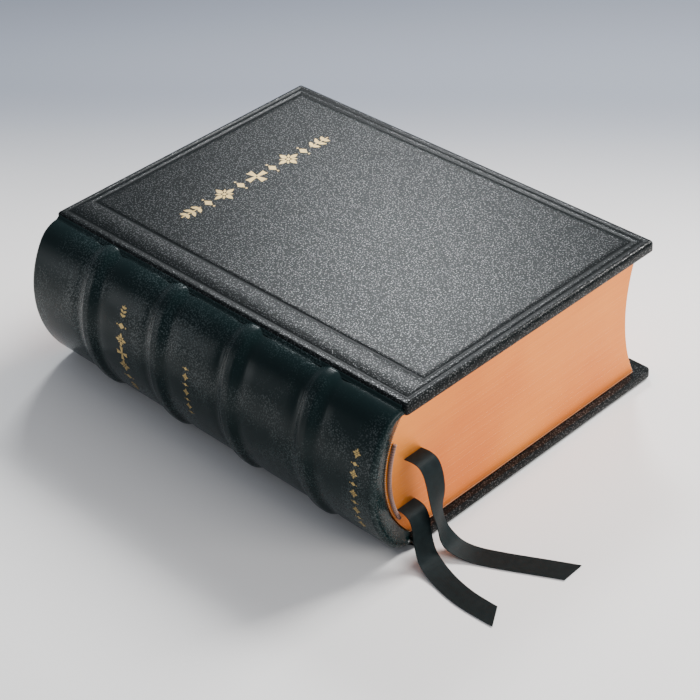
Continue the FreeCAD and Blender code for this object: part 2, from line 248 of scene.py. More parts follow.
def plain_mesh(source):
    """What an object's modifiers make, as a mesh of its own; the object goes."""
    graph = bpy.context.evaluated_depsgraph_get()
    mesh = bpy.data.meshes.new_from_object(source.evaluated_get(graph))
    bpy.data.objects.remove(source)
    return mesh


def prism(name, profile, low_y, high_y):
    """A closed profile in x and z, run from low_y to high_y, with flat ends."""
    count = len(profile)
    points = [(x, y, z) for y in (low_y, high_y) for x, z in profile]
    faces = grid_faces(2, count, wrap=True)
    faces.append(tuple(range(count)))
    faces.append(tuple(count + i for i in reversed(range(count))))
    return outward(mesh_from(name, points, faces, smooth=False))


# ---- the spine's curve ----

class Arch:
    """The outline of the spine in x and z, followed by its length from the crown."""

    def __init__(self):
        rise = SPINE_X - CROWN_X
        small = sizes().shoulder
        self.small = small
        self.big = (ARCH_HALF ** 2 + rise ** 2 - 2 * ARCH_HALF * small) / (2 * (rise - small))
        self.big_x = SPINE_X - rise + self.big
        self.small_up = ARCH_HALF - small
        self.turn = math.atan2(self.small_up, self.big_x - SPINE_X)
        self.flat = self.big * self.turn
        self.half = self.flat + small * (math.pi / 2 - self.turn)

    def at(self, s, offset=0.0):
        """The point at length s from the crown, lifted by offset off the curve."""
        side = 1 if s >= 0 else -1
        run = abs(s)
        if run <= self.flat:
            angle = run / self.big
            x, z, radius = self.big_x, 0.0, self.big
        else:
            angle = self.turn + (run - self.flat) / self.small
            x, z, radius = SPINE_X, self.small_up, self.small
        reach = radius + offset
        return x - reach * math.cos(angle), MID_Z + side * (z + reach * math.sin(angle))


def leaf_back(z):
    """The x of the leaves' rounded back at height z."""
    half = LEAVES_TOP - MID_Z
    deep = SHOULDER_X - LEAF_BACK_X
    radius = (half ** 2 + deep ** 2) / (2 * deep)
    rise = min(abs(z - MID_Z), half)
    return LEAF_BACK_X + radius - math.sqrt(radius ** 2 - rise ** 2)


# ---- nodes ----

MATH, RANGE, MIX = "ShaderNodeMath", "ShaderNodeMapRange", "ShaderNodeMix"
NOISE, AXES, BUMP = "ShaderNodeTexNoise", "ShaderNodeSeparateXYZ", "ShaderNodeBump"
PLACE, JOINED, INDEX = "ShaderNodeTexCoord", "ShaderNodeCombineXYZ", "GeometryNodeInputIndex"
COPIES, REALIZE = "GeometryNodeInstanceOnPoints", "GeometryNodeRealizeInstances"
PAINT = "GeometryNodeSetMaterial"
PLUS, MINUS, TIMES, SINE, SIZE, ROOT = (
    {"operation": name} for name in ("ADD", "SUBTRACT", "MULTIPLY", "SINE", "ABSOLUTE", "SQRT")
)
BLEND = {"data_type": "RGBA"}
FLOAT = {"data_type": "FLOAT"}
RADIUS = {"mode": "RADIUS"}


def add_node(tree, kind, *values, out=0, **inputs):
    """Add a node with its settings, values and links, and return one of its outputs.

    A dict that comes first holds its settings. Values fill the inputs in order;
    others are named, with _ for a space, or numbered, as in _6.
    """
    node = tree.nodes.new(kind)
    if values and isinstance(values[0], dict):
        for key, value in values[0].items():
            setattr(node, key, value)
        values = values[1:]
    given = [(node.inputs[i], value) for i, value in enumerate(values)]
    for key, value in inputs.items():
        spot = int(key[1:]) if key[1:].isdigit() else key.replace("_", " ")
        given.append((node.inputs[spot], value))
    for socket, value in given:
        if isinstance(value, bpy.types.NodeSocket):
            tree.links.new(value, socket)
        elif socket.type == "RGBA":
            socket.default_value = (*value[:3], 1.0)
        else:
            socket.default_value = value
    return node.outputs[out] if node.outputs else None


def shaded(colour_value, factor, plus=0.0):
    """A colour made lighter or darker."""
    return tuple(min(1.0, c * factor + plus) for c in colour_value)


# ---- materials: each function adds its patterns and returns the shader's inputs ----

def pebbles(add, place):
    """Height of the leather's grain: round pebbles of uneven size, with creases between them."""
    grain = sizes().grain
    warp = add(NOISE, Vector=place, Scale=0.5 / grain, Detail=2.0, out="Color")
    shift = add("ShaderNodeMixRGB", {"blend_type": "ADD"}, 0.35 * grain, place, warp)
    cells = add(
        "ShaderNodeTexVoronoi", {"feature": "SMOOTH_F1"},
        Vector=shift, Scale=1 / grain, Smoothness=0.3,
    )
    uneven = add(NOISE, Vector=place, Scale=0.9 / grain, Detail=3.0, Roughness=0.65)
    tops = add(RANGE, cells, 0.62, 0.12)
    return add(MATH, TIMES, tops, add(RANGE, uneven, 0.3, 0.7, 0.25, 1.1))


def grained_leather(add, place):
    """Goatskin, dyed black and glazed: pebbles that glint, their tops painted lighter as painted
    glint, matt creases, dark tooled lines.
    """
    pressed = add("ShaderNodeAttribute", {"attribute_name": "pressed"}, out="Fac")
    kept = add(MATH, MINUS, 1.0, add(MATH, TIMES, pressed, 0.6))
    relief = add(MATH, TIMES, pebbles(add, place), kept)
    # painted glint: the grain's tops are painted lighter; the tooled lines, their grain pressed
    # flat, keep less of it
    lights = add(RANGE, relief, 0.3, 0.95)
    tint = colours()
    return dict(
        Base_Color=add(MIX, BLEND, lights, _6=tint.leather, _7=tint.leather_light, out=2),
        Roughness=add(RANGE, relief, 0.0, 1.0, 0.36, 0.25),
        Specular_IOR_Level=add(RANGE, relief, 0.3, 0.85, 0.06, 1.0),
        IOR=1.5,
        Normal=add(BUMP, Distance=0.035 * MM, Height=relief),
    )


def smooth_leather(add, place):
    """The same skin, pulled tight over the spine and rubbed: low, broken grain, deep gloss, its
    grain tops painted lighter as painted glint.
    """
    broad = add(NOISE, Vector=place, Scale=48.0, Detail=5.0)
    patchy_share = add(RANGE, broad, 0.38, 0.66, 0.1, 1.0)
    height = add(MATH, TIMES, pebbles(add, place), patchy_share)
    base = colours().spine
    return dict(
        # painted glint: the grain's tops are painted lighter than the spine's colour
        Base_Color=add(MIX, BLEND, height, _6=base, _7=shaded(base, 2.6, 0.006), out=2),
        Roughness=add(RANGE, height, 0.0, 1.0, 0.26, 0.36),
        Specular_IOR_Level=add(RANGE, height, 0.1, 0.8, 0.12, 0.7),
        IOR=1.52,
        Normal=add(BUMP, Distance=0.06 * MM, Height=height),
    )


def gilt_edges(add, place):
    """Leaf gold burnished over red bole on the leaves' cut edges, streaked along the leaves."""
    # the streaks are about 0.4 mm apart, coarser than real leaves, so that they show
    stretched = add("ShaderNodeMapping", Vector=place, Scale=(14.0, 14.0, 2600.0))
    streaks = add(NOISE, Vector=stretched, Scale=1.0, Detail=4.0)
    broad = add(NOISE, Vector=place, Scale=16.0, Detail=3.0)
    shares = add(MATH, TIMES, streaks, 0.25), add(MATH, TIMES, broad, 0.75)
    patchy_share = add(RANGE, add(MATH, PLUS, *shares), 0.66, 0.3)
    tint = colours()
    return dict(
        Base_Color=add(MIX, BLEND, patchy_share, _6=tint.gilt_edge, _7=tint.gilt_shade, out=2),
        Metallic=0.7, Roughness=0.45,
        Normal=add(BUMP, Strength=0.4, Distance=0.02 * MM, Height=streaks),
    )


def cloudy(add, cloud, shade):
    """A sheet's colour, a little darker where its pulp lies thicker."""
    thick = add(RANGE, cloud, 0.4, 0.7)
    return add(MIX, BLEND, thick, _6=shade, _7=shaded(shade, 0.9), out=2)


def gilt_sheet(add, place):
    """Endpaper of the flyleaves: laid paper, with the block's gilding on its cut edges."""
    normal = add(PLACE, out="Normal")
    upright = add(MATH, SIZE, add(AXES, normal, out="Z"))
    edge = add(RANGE, upright, 0.8, 0.4)
    cloud = add(NOISE, Vector=place, Scale=60.0, Detail=5.0)
    sheet = cloudy(add, cloud, colours().endpaper)
    return dict(
        Base_Color=add(MIX, BLEND, edge, _6=sheet, _7=colours().gilt_shade, out=2),
        Roughness=0.7,
        Normal=add(BUMP, Strength=0.4, Distance=0.03 * MM, Height=cloud),
    )


def paper(add, place, shade, fibre):
    """Uncoated paper or board: matt, with a faint cloudy formation and fine fibres."""
    cloud = add(NOISE, Vector=place, Scale=60.0, Detail=5.0)
    fibres = add(NOISE, Vector=place, Scale=fibre, Detail=2.0)
    return dict(
        Base_Color=cloudy(add, cloud, shade), Roughness=0.85,
        Normal=add(BUMP, Strength=0.5, Distance=0.03 * MM, Height=fibres),
    )


def threads(add, place, *pitches):
    """A wave from -1 to 1 over each set of threads: the first across x, the second across y."""
    waves = []
    for axis, pitch in zip("XY", pitches):
        along = add(AXES, place, out=axis)
        turns = add(MATH, TIMES, along, 2 * math.pi / pitch)
        waves.append(add(MATH, SINE, turns))
    return waves


def woven(add, place, shade, thread_mm):
    """Plain-woven cloth: two sets of threads at right angles, over and under, painted darker where
    they dip under as painted shade.
    """
    pitch = 2 * thread_mm * MM
    waves = threads(add, place, pitch, pitch)
    cross = add(RANGE, add(MATH, TIMES, *waves), -1.0, 1.0)
    return dict(
        # painted shade: darker where the threads dip under
        Base_Color=add(MIX, BLEND, cross, _6=shaded(shade, 0.75), _7=shade, out=2),
        Roughness=0.8, Sheen_Weight=0.3,
        Normal=add(BUMP, Strength=0.8, Distance=0.06 * MM, Height=cross),
    )


def satin(add, place):
    """Double-faced satin: fine warp lines that run the ribbon's length, painted lighter on their
    ribs as painted sheen where they would catch the light.
    """
    # the UV map is in mm; threads are 0.1 mm on the real ribbon, and coarser here so that they show
    uv = add("ShaderNodeUVMap", {"uv_map": "ribbon"})
    warp, weft = threads(add, uv, 0.45, 0.6)
    shares = add(MATH, TIMES, warp, 0.7), add(MATH, TIMES, weft, 0.3)
    ribs = add(MATH, PLUS, *shares)
    cloud = add(NOISE, Vector=uv, Scale=0.35, Detail=3.0)
    # painted sheen: lighter on the warp ribs, patchy with the cloud
    patchy_share = add(MATH, TIMES, add(RANGE, ribs, -1.0, 1.0), add(RANGE, cloud, 0.3, 0.75))
    shade = colours().ribbon
    return dict(
        Base_Color=add(MIX, BLEND, patchy_share, _6=shade, _7=shaded(shade, 2.0, 0.004), out=2),
        Roughness=0.55, Specular_IOR_Level=0.1,
        Normal=add(BUMP, Strength=0.8, Distance=0.03 * MM, Height=ribs),
    )


def gold_tooling(add, place):
    """Gold leaf pressed into the leather with a hot tool, broken a little by the grain."""
    grain = add(NOISE, Vector=place, Scale=1 / sizes().grain, Detail=4.0)
    patchy_share = add(RANGE, grain, 0.55, 0.75)
    gold = colours().gold
    return dict(
        Base_Color=add(MIX, BLEND, patchy_share, _6=gold, _7=shaded(gold, 0.55), out=2),
        Metallic=0.85, Roughness=0.42,
        Normal=add(BUMP, Strength=0.7, Distance=0.06 * MM, Height=grain),
    )


def silk(add, place, shade):
    """Spun silk thread: soft lustre along each turn."""
    twist = add(NOISE, Vector=place, Scale=2500.0, Detail=2.0)
    return dict(
        Base_Color=add(MIX, BLEND, twist, _6=shaded(shade, 0.7), _7=shade, out=2),
        Roughness=0.45, Sheen_Weight=0.6,
        Normal=add(BUMP, Strength=0.6, Distance=0.03 * MM, Height=twist),
    )


def floor_painted_falloff(add, place):
    """Studio floor, painted near white by the object and a cool grey behind it: painted falloff of
    light, darker farther back.
    """
    turned = add("ShaderNodeMapping", Vector=place, Rotation=(0, 0, math.radians(53)))
    far = add(AXES, turned, out="Y")
    cloud = add(NOISE, Vector=place, Scale=3.0, Detail=2.0)
    spot = add(MATH, PLUS, far, add(MATH, TIMES, cloud, 0.02))
    shade = add("ShaderNodeValToRGB", Fac=add(RANGE, spot, 0.0, 0.4))
    ramp = shade.node.color_ramp
    ramp.interpolation = "EASE"
    near = tuple(colours().floor)
    # painted shade: the greys farther back stand for the lamps' light falling off
    stops = ((0.0, near), (0.15, near), (0.66, linear("#7c828e")), (1.0, linear("#5f6571")))
    while len(ramp.elements) < len(stops):
        ramp.elements.new(0.5)
    for element, (position, stop) in zip(ramp.elements, stops):
        element.position = position
        element.color = (*stop, 1.0)
    return dict(Base_Color=shade, Roughness=0.8)


# Each finish: the material's name, its function, and what else the function takes.
FINISHES = {
    "grained": ("grained_goatskin_glazed", grained_leather),
    "smooth": ("goatskin_rubbed_over_spine", smooth_leather),
    "gilt": ("burnished_gilt_leaf_edges", gilt_edges),
    "leaf": ("thin_white_paper", paper, "paper", 900.0),
    "endpaper": ("laid_endpaper", paper, "endpaper", 600.0),
    "flyleaf": ("laid_endpaper_gilt_edges", gilt_sheet),
    "kraft": ("brown_kraft_paper", paper, "#a58a66", 500.0),
    "board": ("grey_millboard", paper, "#8b8478", 350.0),
    "mull": ("starched_mull", woven, "#d9d4c6", 0.9),
    "tape": ("linen_sewing_tape", woven, "#e2dccb", 0.5),
    "ribbon": ("double_faced_satin_ribbon", satin),
    "gold": ("tooled_gold_leaf", gold_tooling),
    "silk_light": ("rose_silk_thread", silk, "#8d5f4d"),
    "silk_dark": ("brown_silk_thread", silk, "#4c2a22"),
    "floor": ("graduated_studio_paper", floor_painted_falloff),
}
made = {}


def finish(name):
    """The material of that name, made once."""
    if name not in made:
        title, patterns, *given = FINISHES[name]
        if given:
            shade = given[0]
            given[0] = linear(shade) if shade[0] == "#" else getattr(colours(), shade)
        made[name] = bpy.data.materials.new(title)
        made[name].use_nodes = True
        tree = made[name].node_tree
        tree.nodes.clear()
        add = partial(add_node, tree)
        place = add(PLACE, out="Object")
        shader = add("ShaderNodeBsdfPrincipled", **patterns(add, place, *given))
        add("ShaderNodeOutputMaterial", Surface=shader)
    return made[name]


def settle(piece, body, slot, *replaced):
    """Say which body a drawn piece rides on and the CAD nodes it stands for, whose parts it hides;
    the slot is not used.
    """
    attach(piece, body)
    if replaced:
        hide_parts(*replaced)


def dress(name, *nodes):
    """Give CAD nodes that stay as they are their material."""
    for node in nodes:
        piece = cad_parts[node]
        piece.data.materials.clear()
        piece.data.materials.append(finish(name))


# ---- ribbons ----

def smooth_line(route):
    """Points along the NURBS curve through a route's control points, in metres."""
    curve = bpy.data.curves.new("route", "CURVE")
    curve.dimensions = "3D"
    curve.resolution_u = 14
    spline = curve.splines.new("NURBS")
    spline.points.add(len(route) - 1)
    for point, (x, y, z) in zip(spline.points, route):
        point.co = (SPINE_X + x * MM, TAIL_Y + y * MM, z * MM, 1)
    spline.order_u = 3
    spline.use_endpoint_u = True
    return [v.co.copy() for v in plain_mesh(new_object("route", curve)).vertices]


def line_length(line):
    return sum((b - a).length for a, b in zip(line, line[1:]))


def ribbon_mesh(name, line, slant, twist):
    """A flat ribbon along a line: level where it lies, along the leaves' edge where it falls."""
    wide, thick = sizes().ribbon_wide, sizes().ribbon_thick
    across_steps = 10
    heads = [(b - a).normalized() for a, b in zip(line, line[1:])]
    heads.append(heads[-1])
    total = line_length(line)
    acrosses = []
    for head in heads:
        steep = min(1.0, max(0.0, (abs(head.z) - 0.25) / 0.4))
        level = Vector((-head.y, head.x, 0)).normalized()
        fall = (Vector((1, 0, 0)) - head * head.x).normalized()
        acrosses.append(level.lerp(fall, steep).normalized())
    for _ in range(6):
        acrosses = [acrosses[0]] + [
            (a + b * 2 + c).normalized() for a, b, c in zip(acrosses, acrosses[1:], acrosses[2:])
        ] + [acrosses[-1]]
    points, marks = [], []
    run = 0.0
    rows = len(line)
    for i, (spot, head, across) in enumerate(zip(line, heads, acrosses)):
        if i:
            run += (spot - line[i - 1]).length
        turned = math.radians(twist) * math.exp(-((run / total - 0.38) / 0.11) ** 2)
        across = Matrix.Rotation(turned, 3, head) @ (across - head * across.dot(head)).normalized()
        up = across.cross(head).normalized()
        cut = slant * max(0.0, (run / total - 0.85) / 0.15)
        # the ribbon is cupped a little across its width, and less where it lies
        cup = 0.35 * MM * math.sin(math.pi * min(1.0, run / total * 1.6))
        cup *= 1.0 if spot.z > 2 * MM else 0.3
        ring = []
        for side in (1, -1):
            for step in range(across_steps + 1)[::side]:
                part = step / across_steps - 0.5
                slip = head * (part * 2 * cut)
                lift = up * (cup * (0.25 - part * part) * 2 + side * thick / 2)
                ring.append(spot + across * (part * wide) + slip + lift)
                marks.append(((part + 0.5) * wide / MM, run / MM))
        points += ring
    count = 2 * (across_steps + 1)
    faces = grid_faces(rows, count, wrap=True)
    faces.append(tuple(reversed(range(count))))
    faces.append(tuple((rows - 1) * count + i for i in range(count)))
    mesh = mesh_from(name, points, faces)
    layer = mesh.uv_layers.new(name="ribbon")
    for loop in mesh.loops:
        layer.data[loop.index].uv = marks[loop.vertex_index]
    return flat_shade_sharp(outward(mesh, merge=False), 50)


class BOOK_OT_ribbons(bpy.types.Operator):
    """Make the two ribbon markers where they leave the leaves"""
    bl_idname = "book.ribbons"
    bl_label = "Ribbons"

    def execute(self, context):
        # how far the end is cut on the slant, and the twist of the falling part in degrees
        for name, slant, twist in (("ribbon_1", 2.2 * MM, -30), ("ribbon_2", -2.6 * MM, 0)):
            line = smooth_line(ROUTES[name])
            mesh = ribbon_mesh(name + "_satin", line, slant, twist)
            piece = new_object(name + "_satin", mesh, finish("ribbon"))
            settle(piece, "book_block", "ribbon", name)
            dress("ribbon", name + "_between_leaves")
        return {"FINISHED"}


# ---- covers ----

def groove(inset, inset_spine, wide, deep):
    """Rings across one tooled line: level, down, up, level."""
    return [
        (inset + step * wide, inset_spine + step * wide, -down * deep, down)
        for step, down in ((-0.5, 0.0), (-0.28, 0.7), (0.0, 1.0), (0.28, 0.7), (0.5, 0.0))
    ]


def cover_rings():
    """Insets from the cover's edges and drops from its outer face, from inside to the middle."""
    size = sizes()
    thick = TOP_Z - TURN_IN_Z
    edge = size.edge_round
    turn_in = 16 * MM  # leather folded over the inner face
    board_in = corner("front_board", 0, "x") - SPINE_X
    board_low = corner("front_board", 0, "z") - TOP_Z
    board_high = corner("front_board", 1, "z") - TOP_Z
    # the leather's inner face, against the board
    rings = [(board_in, board_in, board_high, 0.0), (board_in, board_in, board_low, 0.0)]
    rings += [(turn_in, turn_in, board_low, 0.0), (turn_in, turn_in, -thick, 0.0)]
    for inset, up in ((1.0, 0.0), (0.3, 0.15), (0.0, 0.7)):
        rings.append((inset * MM, inset * MM, up * MM - thick, 0.0))
    steps = 6
    for step in range(steps + 1):
        angle = math.pi / 2 * step / steps
        inset = edge * (1 - math.cos(angle))
        rings.append((inset, inset, -edge * (1 - math.sin(angle)), 0.0))
    rings.append((edge * 1.2, edge * 1.2, 0.0, 0.0))
    rings += groove(size.outer_line, size.outer_line_spine, size.line_wide, size.line_deep)
    rings += groove(size.inner_line, size.inner_line_spine, size.line_wide, size.line_deep)
    return rings


def cover_skin(side):
    """Leather over one cover, with its edges turned in and its frame of blind lines."""
    points = []
    rings = cover_rings()
    for inset, inset_spine, drop, _ in rings:
        radius = max(0.15 * MM, sizes().corner_round - inset) if inset < 3 * MM else 0.2 * MM
        loop = rounded_rectangle(
            SPINE_X + inset_spine, FORE_X - inset, TAIL_Y + inset, HEAD_Y - inset, radius
        )
        points += [(x, y, TOP_Z + drop) for x, y in loop]
    count = len(points) // len(rings)
    faces = grid_faces(len(rings), count, wrap=True)
    # the panel inside the lines: rings that shrink to its middle
    inset, inset_spine, _, _ = rings[-1]
    cx = (SPINE_X + inset_spine + (FORE_X - inset)) / 2
    cy = (TAIL_Y + inset + (HEAD_Y - inset)) / 2
    previous = start = (len(rings) - 1) * count
    shrink = 12
    for step in range(1, shrink + 1):
        share = (step / (shrink + 1)) ** 1.5 * 0.96
        base = len(points)
        for x, y, _ in points[start:start + count]:
            points.append((x + (cx - x) * share, y + (cy - y) * share, TOP_Z))
        for c in range(count):
            n = (c + 1) % count
            faces.append((previous + c, previous + n, base + n, base + c))
        previous = base
    faces.append(tuple(previous + i for i in range(count)))
    faces.append(tuple(reversed(range(count))))
    if side == "back":
        points = [(x, y, TOP_Z - z) for x, y, z in points]
    mesh = mesh_from(side + "_cover_skin", points, faces)
    pressed = mesh.attributes.new("pressed", "FLOAT", "POINT")
    for row, ring in enumerate(rings):
        for i in range(count):
            pressed.data[row * count + i].value = ring[3]
    return flat_shade_sharp(outward(mesh, merge=False), 40)


class BOOK_OT_covers(bpy.types.Operator):
    """Make the leather of both covers and dress their boards and papers"""
    bl_idname = "book.covers"
    bl_label = "Covers"

    def execute(self, context):
        for side in ("front", "back"):
            skin = new_object(side + "_cover_skin", cover_skin(side), finish("grained"))
            replaced = side + "_leather", side + "_turn_in"
            settle(skin, side + "_cover", "cover_leather", *replaced)
            dress("board", side + "_board")
            dress("kraft", side + "_board_lining")
            dress("endpaper", side + "_pastedown")
            dress("flyleaf", side + "_flyleaf")
        return {"FINISHED"}


# ---- spine ----

def smoothstep(value):
    value = min(1.0, max(0.0, value))
    return value * value * (3 - 2 * value)


def band_lift(y):
    """How far the spine leather stands up at y, over the bands and beside them."""
    soft = sizes().band_soft
    lift = 0.0
    for spot in BANDS:
        away = abs(y - spot)
        lift += BAND_PROUD * (1 - smoothstep((away - 1.3 * MM) / soft))
        lift -= 0.28 * MM * math.exp(-((away - 7.2 * MM) / (2.2 * MM)) ** 2)
    return lift


def spine_rows():
    """Places along the spine, closer together near its ends and over the bands."""
    rows = []
    y = SPINE_TAIL
    while y < SPINE_HEAD:
        rows.append(y)
        near_end = min(y - SPINE_TAIL, SPINE_HEAD - y) < 5 * MM
        near_band = any(abs(y - spot) < 9 * MM for spot in BANDS)
        y += (0.4 if near_end else 0.55 if near_band else 2.0) * MM
    rows.append(SPINE_HEAD)
    return rows


def spine_skin():
    """Leather over the spine: humps over the bands, and caps rolled in to the leaves."""
    arch = Arch()
    columns = 97
    spots = [arch.half * (2 * c / (columns - 1) - 1) for c in range(columns)]
    round_end = 2.2 * MM
    cap_steps = 9

    def ring(y, offset, tuck=0.0, lift=0.0):
        line = []
        for s in spots:
            # a band lies flatter where it goes into the joint
            near = smoothstep((arch.half - abs(s)) / (10 * MM))
            x, z = arch.at(s, offset - max(0.0, lift) * 0.42 * (1 - near))
            back = leaf_back(z) - 0.3 * MM
            line.append((x + (max(back, x) - x) * tuck, y, z))
        return line

    def cap(end, way):
        """Rings from the leaves' back out to the rim at one end of the spine."""
        rings = []
        for step in range(cap_steps):
            share = step / cap_steps
            depth = (2.4 * (1 - share) ** 1.3) * MM
            offset = -2.2 * MM * (1 - share) - round_end * share
            rings.append(ring(end + way * depth, offset, (1 - share) * 0.96))
        return rings

    rows = cap(SPINE_TAIL, 1)
    for y in spine_rows():
        from_end = min(y - SPINE_TAIL, SPINE_HEAD - y)
        drop = 0.0
        if from_end < round_end:
            drop = round_end - math.sqrt(round_end ** 2 - (round_end - from_end) ** 2)
        rows.append(ring(y, band_lift(y) - drop, lift=band_lift(y)))
    rows += cap(SPINE_HEAD, -1)[::-1]
    points = [point for line in rows for point in line]
    mesh = mesh_from("spine_skin", points, grid_faces(len(rows), columns))
    work = bmesh.new()
    work.from_mesh(mesh)
    bmesh.ops.recalc_face_normals(work, faces=work.faces)
    crown = Vector((CROWN_X, 0, MID_Z))
    middle = min(work.faces, key=lambda face: (face.calc_center_median() - crown).length)
    if middle.normal.x > 0:
        bmesh.ops.reverse_faces(work, faces=work.faces)
    work.to_mesh(mesh)
    work.free()
    return mesh


class BOOK_OT_spine(bpy.types.Operator):
    """Make the leather of the spine and dress the pieces inside it"""
    bl_idname = "book.spine"
    bl_label = "Spine"

    def execute(self, context):
        piece = new_object("spine_skin", spine_skin(), finish("smooth"))
        thick = piece.modifiers.new("leather", "SOLIDIFY")
        thick.thickness = 0.6 * MM
        thick.offset = -1.0
        settle(piece, "book_block", "spine_leather", "spine_leather", "head_cap", "tail_cap")
        dress("board", "spine_inlay", *("raised_band_%d" % n for n in (1, 2, 3, 4)))
        dress("kraft", "hollow_tube")
        dress("mull", "mull")
        dress("tape", *("sewing_tape_%d" % n for n in (1, 2, 3, 4)))
        return {"FINISHED"}


# ---- joints ----

def strip_profile(line, thick):
    """A closed outline of even thickness along an open line in x and z."""
    under = []
    for i, (x, z) in enumerate(line):
        a = line[max(0, i - 1)]
        b = line[min(len(line) - 1, i + 1)]
        run = math.hypot(b[0] - a[0], b[1] - a[1])
        under.append((x + (b[1] - a[1]) / run * thick, z - (b[0] - a[0]) / run * thick))
    return line + under[::-1]


class BOOK_OT_joints(bpy.types.Operator):
    """Make the leather that bends at each cover and the paper in the gutter under it"""
    bl_idname = "book.joints"
    bl_label = "Joints"

    def execute(self, context):
        arch = Arch()
        for side in ("front", "back"):
            up = side == "front"

            def level(z):
                return z if up else TOP_Z - z

            shoulder_z = arch.at(arch.half)[1]
            steps = 10
            line = []
            for step in range(steps + 1):
                share = step / steps
                line.append((
                    SPINE_X + (-1.5 + 1.6 * share) * MM,
                    shoulder_z + (0.02 + 0.95 * smoothstep(share)) * MM,
                ))
            profile = [(x, level(z)) for x, z in strip_profile(line, 0.35 * MM)]
            ends = SPINE_TAIL + 1.2 * MM, SPINE_HEAD - 1.2 * MM
            mesh = prism(side + "_joint_leather", profile, *ends)
            joint = new_object(side + "_joint_leather", flat_shade_sharp(mesh), finish("smooth"))
            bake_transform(joint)

            gutter = [
                (SHOULDER_X + 0.1 * MM, LEAVES_TOP + 0.05 * MM),
                (SHOULDER_X - 0.6 * MM, LEAVES_TOP + 0.12 * MM),
                (SPINE_X - 0.05 * MM, LEAVES_TOP + 0.45 * MM),
                (SPINE_X - 0.22 * MM, LEAVES_TOP + 1.2 * MM),
                (SPINE_X - 0.24 * MM, shoulder_z + 0.1 * MM),
            ]
            profile = [(x, level(z)) for x, z in strip_profile(gutter, 0.1 * MM)]
            mesh = prism(side + "_gutter_paper", profile, LEAVES_TAIL, LEAVES_HEAD)
            paper = new_object(side + "_gutter_paper", flat_shade_sharp(mesh), finish("endpaper"))
            settle(paper, "book_block", "endpaper")
        return {"FINISHED"}


# ---- leaves ----

def new_group(name, sockets):
    """A Geometry Nodes group with named inputs, what adds its nodes, and what its inputs give."""
    tree = bpy.data.node_groups.new(name, "GeometryNodeTree")
    for label, kind in [("Geometry", "Geometry"), *sockets]:
        tree.interface.new_socket(label, in_out="INPUT", socket_type="NodeSocket" + kind)
    tree.interface.new_socket("Geometry", in_out="OUTPUT", socket_type="NodeSocketGeometry")
    return tree, partial(add_node, tree), tree.nodes.new("NodeGroupInput").outputs


def run_group(tree, name, mesh, values):
    """What a group makes of a mesh, as a plain mesh object."""
    holder = new_object(name + "_start", mesh)
    modifier = holder.modifiers.new("nodes", "NODES")
    modifier.node_group = tree
    for item in tree.interface.items_tree:
        if item.in_out == "INPUT" and item.name in values:
            modifier[item.identifier] = values[item.name]
    result = plain_mesh(holder)
    result.name = name
    return new_object(name, result)


def section_block():
    """A sewn section, one unit long and thick: a rounded fold at the spine, square elsewhere."""
    wide = LEAVES_HEAD - LEAVES_TAIL
    outline = [(1.0, -0.5), (1.0, 0.5)]
    fold = 0.004
    for step in range(7):
        angle = math.pi / 2 + math.pi * step / 6
        outline.append((fold + fold * math.cos(angle), 0.5 * math.sin(angle)))
    return prism("section_block", outline, -wide / 2, wide / 2)


def sections_tree():
    """Stacked sections, each as long as the rounded back and hollow fore-edge leave it."""
    tree, add, given = new_group("stacked_sections", [
        ("Count", "Int"), ("Low", "Float"), ("Thick", "Float"),
        ("Back radius", "Float"), ("Back", "Float"), ("Fore radius", "Float"), ("Fore", "Float"),
        ("Middle", "Float"), ("Uneven", "Float"), ("Seed", "Int"),
        ("Leaf", "Material"), ("Gilt", "Material"),
    ])
    line = add("GeometryNodeMeshLine", Count=given["Count"])
    index = add(INDEX)
    up = add(MATH, TIMES, add(MATH, PLUS, index, 0.5), given["Thick"])
    height = add(MATH, PLUS, given["Low"], up)
    off = add(MATH, MINUS, height, given["Middle"])
    square = add(MATH, TIMES, off, off)

    def arc(radius, crown):
        """crown + radius - sqrt(radius^2 - off^2)"""
        squares = add(MATH, MINUS, add(MATH, TIMES, radius, radius), square)
        rise = add(MATH, MINUS, radius, add(MATH, ROOT, squares))
        return add(MATH, PLUS, crown, rise)

    jitter = []
    for shift in (0, 1):
        seed = add(MATH, PLUS, given["Seed"], shift)
        draw = add("FunctionNodeRandomValue", FLOAT, ID=index, Seed=seed, out=1)
        centred = add(MATH, MINUS, draw, 0.5)
        jitter.append(add(MATH, TIMES, centred, given["Uneven"]))
    start = arc(given["Back radius"], given["Back"])
    stop = add(MATH, PLUS, arc(given["Fore radius"], given["Fore"]), jitter[0])
    place = add(JOINED, X=start, Y=jitter[1], Z=height)
    points = add("GeometryNodeSetPosition", Geometry=line, Position=place)
    long = add(MATH, MINUS, stop, start)
    scale = add(JOINED, X=long, Y=1.0, Z=given["Thick"])
    copies = add(COPIES, Points=points, Instance=given["Geometry"], Scale=scale)
    real = add(REALIZE, Geometry=copies)
    leaf = add(PAINT, Geometry=real, Material=given["Leaf"])
    up = add(AXES, add("GeometryNodeInputNormal"), out="Z")
    upright = add(MATH, {"operation": "LESS_THAN"}, add(MATH, SIZE, up), 0.5)
    gilt = add(PAINT, Geometry=leaf, Selection=upright, Material=given["Gilt"])
    add("NodeGroupOutput", gilt)
    return tree


